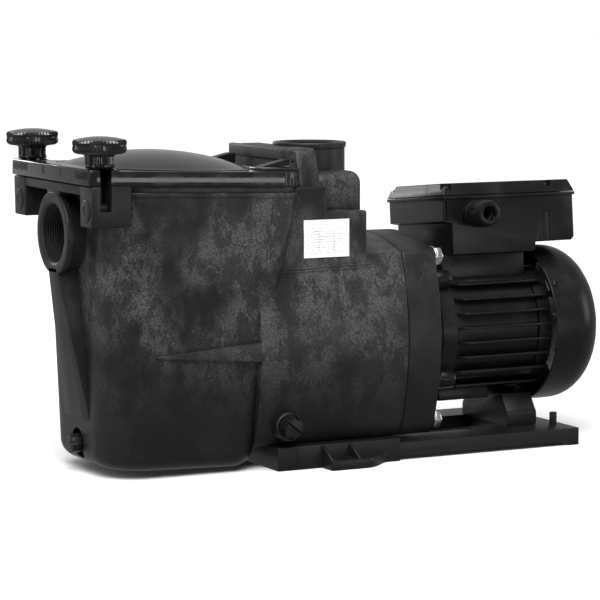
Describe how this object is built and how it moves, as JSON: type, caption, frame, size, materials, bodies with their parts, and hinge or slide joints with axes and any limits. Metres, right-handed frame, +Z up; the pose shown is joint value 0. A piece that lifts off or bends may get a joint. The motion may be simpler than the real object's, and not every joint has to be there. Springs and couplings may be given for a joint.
{
  "type": "pool pump",
  "caption": "Plastic pool pump with a clamped strainer lid, threaded ports, a finned motor with a terminal box and a slotted base.",
  "frame": {"origin": "middle of the footprint at the ground", "axes": "+X along the shaft from the suction port towards the fan cover, +Y to the left side, +Z up"},
  "size_m": [0.5914, 0.2206, 0.3278],
  "materials": {
    "moulded_black": "moulded, faint flow marks",
    "gloss_black": "glossy",
    "satin_black": "satin powder coat",
    "grey_plastic": "moulded",
    "rubber": "matt",
    "stainless": "bright",
    "brass": "machined",
    "winding": "varnished copper wire",
    "ceramic": "lapped",
    "label_white": "printed film"
  },
  "bodies": {
    "pump_body": {"pump_housing": "moulded_black", "strainer_lid": "gloss_black", "lid_seal": "rubber", "strainer_basket": "grey_plastic", "swing_bolt_pin_right": "stainless", "swing_bolt_pin_left": "stainless", "seal_plate": "moulded_black", "housing_bolt_top_right": "stainless", "housing_bolt_top_left": "stainless", "housing_bolt_bottom_right": "stainless", "housing_bolt_bottom_left": "stainless", "housing_gasket": "rubber", "diffuser": "grey_plastic", "shaft_seal_seat": "ceramic", "front_bearing": "stainless", "rear_bearing": "stainless", "motor_frame": "satin_black", "front_end_shield": "satin_black", "rear_end_shield": "satin_black", "stator": "winding", "motor_bolt_1": "stainless", "motor_bolt_2": "stainless", "motor_bolt_3": "stainless", "motor_bolt_4": "stainless", "fan_cover": "satin_black", "fan_cover_screw_1": "stainless", "fan_cover_screw_2": "stainless", "fan_cover_screw_3": "stainless", "terminal_box": "satin_black", "terminal_box_cover": "satin_black", "cover_screw_1": "stainless", "cover_screw_2": "stainless", "cover_screw_3": "stainless", "cover_screw_4": "stainless", "terminal_block": "grey_plastic", "run_capacitor": "grey_plastic", "gland_body": "satin_black", "gland_nut": "satin_black", "gland_seal": "rubber", "pump_base": "moulded_black", "motor_support": "moulded_black", "rating_label": "label_white"},
    "spinning_group": {"motor_shaft": "stainless", "rotor": "stainless", "impeller": "grey_plastic", "impeller_nut": "brass", "cooling_fan": "grey_plastic", "slinger": "rubber", "shaft_seal_head": "rubber"},
    "knob_right": {"lid_knob_right": "gloss_black"},
    "knob_left": {"lid_knob_left": "gloss_black"},
    "washer_right": {"knob_washer_right": "stainless"},
    "washer_left": {"knob_washer_left": "stainless"},
    "bolt_right": {"swing_bolt_right": "stainless"},
    "bolt_left": {"swing_bolt_left": "stainless"},
    "front_plug": {"front_drain_plug": "moulded_black"},
    "front_plug_gasket": {"front_drain_gasket": "rubber"},
    "side_plug": {"side_drain_plug": "moulded_black"},
    "side_plug_gasket": {"side_drain_gasket": "rubber"}
  },
  "joints": [
    {"name": "shaft_spin", "type": "hinge", "parent": "pump_body", "child": "spinning_group", "pos_m": [0.18, 0, 0.118], "axis": [1, 0, 0], "continuous": true},
    {"name": "swing_bolt_hinge_right", "type": "hinge", "parent": "pump_body", "child": "bolt_right", "pos_m": [-0.27025, -0.0848, 0.259], "axis": [1, 0, 0], "range_deg": [0, 68]},
    {"name": "washer_lift_right", "type": "slide", "parent": "bolt_right", "child": "washer_right", "axis": [0, 0, 1], "range_m": [0, 0.01]},
    {"name": "knob_turn_right", "type": "hinge", "parent": "washer_right", "child": "knob_right", "pos_m": [-0.27025, -0.0848, 0.3], "axis": [0, 0, 1], "range_deg": [0, 2880]},
    {"name": "swing_bolt_hinge_left", "type": "hinge", "parent": "pump_body", "child": "bolt_left", "pos_m": [-0.27025, 0.0848, 0.259], "axis": [-1, 0, 0], "range_deg": [0, 68]},
    {"name": "washer_lift_left", "type": "slide", "parent": "bolt_left", "child": "washer_left", "axis": [0, 0, 1], "range_m": [0, 0.01]},
    {"name": "knob_turn_left", "type": "hinge", "parent": "washer_left", "child": "knob_left", "pos_m": [-0.27025, 0.0848, 0.3], "axis": [0, 0, 1], "range_deg": [0, 2880]},
    {"name": "front_plug_travel", "type": "slide", "parent": "pump_body", "child": "front_plug_gasket", "axis": [-1, 0, 0], "range_m": [0, 0.012]},
    {"name": "front_plug_turn", "type": "hinge", "parent": "front_plug_gasket", "child": "front_plug", "pos_m": [-0.25325, 0, 0.0282], "axis": [-1, 0, 0], "range_deg": [0, 2880]},
    {"name": "side_plug_travel", "type": "slide", "parent": "pump_body", "child": "side_plug_gasket", "axis": [0, -1, 0], "range_m": [0, 0.012]},
    {"name": "side_plug_turn", "type": "hinge", "parent": "side_plug_gasket", "child": "side_plug", "pos_m": [-0.07925, -0.093, 0.044], "axis": [0, -1, 0], "range_deg": [0, 2880]}
  ],
  "couplings": [
    {"joint": "washer_lift_right", "follows": "knob_turn_right", "m_per_rad": 0.00019894},
    {"joint": "washer_lift_left", "follows": "knob_turn_left", "m_per_rad": 0.00019894},
    {"joint": "front_plug_travel", "follows": "front_plug_turn", "m_per_rad": 0.00023873},
    {"joint": "side_plug_travel", "follows": "side_plug_turn", "m_per_rad": 0.00023873}
  ]
}
